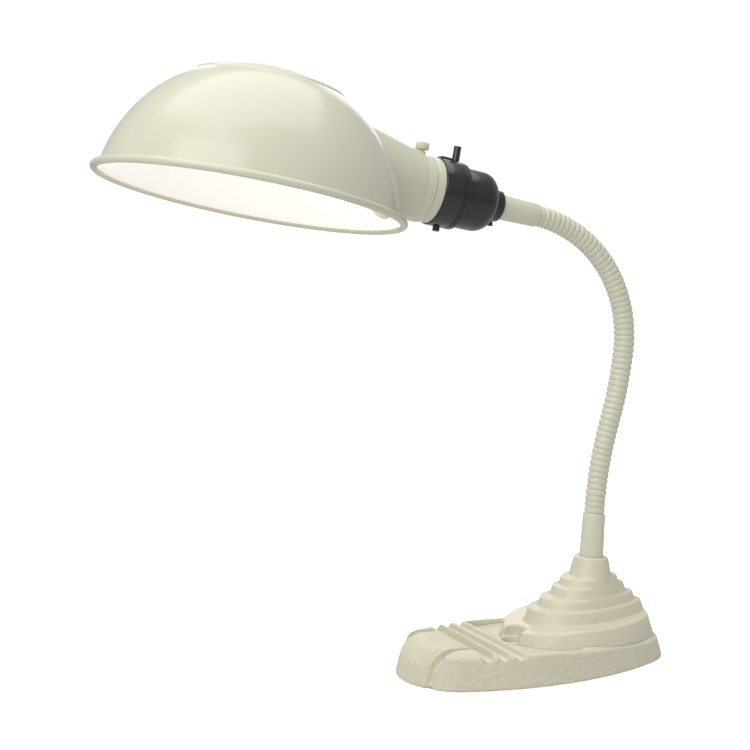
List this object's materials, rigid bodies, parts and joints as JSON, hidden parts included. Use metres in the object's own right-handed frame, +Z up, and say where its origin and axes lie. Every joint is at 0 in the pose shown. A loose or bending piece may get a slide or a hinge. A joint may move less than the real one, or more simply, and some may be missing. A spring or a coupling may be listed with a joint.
{
  "type": "dome shade desk lamp",
  "caption": "Gooseneck desk lamp: dome shade on a side-entry socket, ribbed flexible neck, stepped cast base with pen rests and a tray.",
  "frame": {"origin": "centre of the stem on the table plane, under the top of the base's collar", "axes": "+Z up, -X forward along the base to the pen rests and the shade, +Y across"},
  "size_m": [0.4088, 0.2, 0.4065],
  "materials": {
    "cast_enamel": "gloss cream paint with a wrinkle texture on cast iron",
    "enamel": "gloss cream enamel",
    "bakelite": "gloss black phenolic",
    "black_screw": "dark plated steel",
    "zinc": "zinc plated steel",
    "felt": "black felt",
    "bushing": "matte black nylon",
    "ceramic": "white glazed insulator",
    "brass": "plain brass",
    "cap_metal": "satin aluminium",
    "insulator": "black glass insulator",
    "glass": "white glass"
  },
  "bodies": {
    "base": {"base_casting": "cast_enamel", "base_cover": "zinc", "felt_pad": "felt", "cover_screws": "zinc", "stem_nipple": "zinc", "stem_washer": "zinc", "stem_lock_nut": "zinc", "cord_bushing": "bushing", "lower_ferrule": "enamel"},
    "link_01": {"gooseneck_link_01": "enamel"},
    "link_02": {"gooseneck_link_02": "enamel"},
    "link_03": {"gooseneck_link_03": "enamel"},
    "link_04": {"gooseneck_link_04": "enamel"},
    "link_05": {"gooseneck_link_05": "enamel"},
    "link_06": {"gooseneck_link_06": "enamel"},
    "link_07": {"gooseneck_link_07": "enamel"},
    "link_08": {"gooseneck_link_08": "enamel"},
    "link_09": {"gooseneck_link_09": "enamel"},
    "link_10": {"gooseneck_link_10": "enamel"},
    "link_11": {"gooseneck_link_11": "enamel"},
    "head": {"gooseneck_link_12": "enamel", "upper_ferrule": "enamel", "socket_nipple": "zinc", "socket_cap": "bakelite", "cap_set_screw": "black_screw", "socket_body": "bakelite", "socket_core": "ceramic", "screw_shell": "brass", "centre_contact": "brass", "terminal_screws": "brass", "shade_ring": "enamel", "bulb_glass": "glass", "bulb_screw_cap": "cap_metal", "bulb_insulator": "insulator", "bulb_contact": "brass"},
    "shade": {"shade_dome": "enamel", "shade_neck": "enamel", "screw_boss": "enamel"},
    "thumb": {"thumb_screw": "enamel"},
    "switch": {"switch_rod": "bakelite", "switch_contact": "brass"}
  },
  "joints": [
    {"name": "lower_bend_1", "type": "hinge", "parent": "base", "child": "link_01", "pos_m": [0.00207, 0, 0.10403], "axis": [0, 1, 0], "range_deg": [-7, 7]},
    {"name": "lower_swing_1", "type": "hinge", "parent": "link_01", "child": "link_02", "pos_m": [0.00425, 0, 0.125], "axis": [0.9902, 0, -0.1396], "range_deg": [-7, 7]},
    {"name": "lower_bend_2", "type": "hinge", "parent": "link_02", "child": "link_03", "pos_m": [0.00796, 0, 0.14575], "axis": [0, 1, 0], "range_deg": [-7, 7]},
    {"name": "lower_swing_2", "type": "hinge", "parent": "link_03", "child": "link_04", "pos_m": [0.01319, 0, 0.16618], "axis": [0.959, 0, -0.2836], "range_deg": [-7, 7]},
    {"name": "lower_bend_3", "type": "hinge", "parent": "link_04", "child": "link_05", "pos_m": [0.01904, 0, 0.18643], "axis": [0, 1, 0], "range_deg": [-7, 7]},
    {"name": "lower_swing_3", "type": "hinge", "parent": "link_05", "child": "link_06", "pos_m": [0.0234, 0, 0.20706], "axis": [0.9855, 0, -0.1694], "range_deg": [-7, 7]},
    {"name": "upper_bend_1", "type": "hinge", "parent": "link_06", "child": "link_07", "pos_m": [0.02598, 0, 0.22797], "axis": [0, 1, 0], "range_deg": [-7, 7]},
    {"name": "upper_swing_1", "type": "hinge", "parent": "link_07", "child": "link_08", "pos_m": [0.02412, 0, 0.24892], "axis": [0.9773, 0, 0.2117], "range_deg": [-7, 7]},
    {"name": "upper_bend_2", "type": "hinge", "parent": "link_08", "child": "link_09", "pos_m": [0.01714, 0, 0.26876], "axis": [0, 1, 0], "range_deg": [-7, 7]},
    {"name": "upper_swing_2", "type": "hinge", "parent": "link_09", "child": "link_10", "pos_m": [0.00548, 0, 0.28627], "axis": [0.7568, 0, 0.6537], "range_deg": [-7, 7]},
    {"name": "upper_bend_3", "type": "hinge", "parent": "link_10", "child": "link_11", "pos_m": [-0.01014, 0, 0.30035], "axis": [0, 1, 0], "range_deg": [-7, 7]},
    {"name": "upper_swing_3", "type": "hinge", "parent": "link_11", "child": "head", "pos_m": [-0.02863, 0, 0.3104], "axis": [0.3811, 0, 0.9245], "range_deg": [-7, 7]},
    {"name": "shade_swivel", "type": "hinge", "parent": "head", "child": "shade", "pos_m": [-0.14209, 0, 0.33309], "axis": [0.9842, 0, -0.1771], "continuous": true},
    {"name": "thumb_screw_turn", "type": "hinge", "parent": "shade", "child": "thumb", "pos_m": [-0.13758, 0, 0.35788], "axis": [0.1771, 0, 0.9842], "continuous": true},
    {"name": "switch_push", "type": "slide", "parent": "head", "child": "switch", "axis": [0.1771, 0, 0.9842], "range_m": [-0.0065, 0]}
  ],
  "couplings": [
    {"joint": "lower_bend_2", "follows": "lower_bend_1", "ratio": 1},
    {"joint": "lower_swing_2", "follows": "lower_swing_1", "ratio": 1},
    {"joint": "lower_bend_3", "follows": "lower_bend_1", "ratio": 1},
    {"joint": "lower_swing_3", "follows": "lower_swing_1", "ratio": 1},
    {"joint": "upper_bend_2", "follows": "upper_bend_1", "ratio": 1},
    {"joint": "upper_swing_2", "follows": "upper_swing_1", "ratio": 1},
    {"joint": "upper_bend_3", "follows": "upper_bend_1", "ratio": 1},
    {"joint": "upper_swing_3", "follows": "upper_swing_1", "ratio": 1}
  ]
}
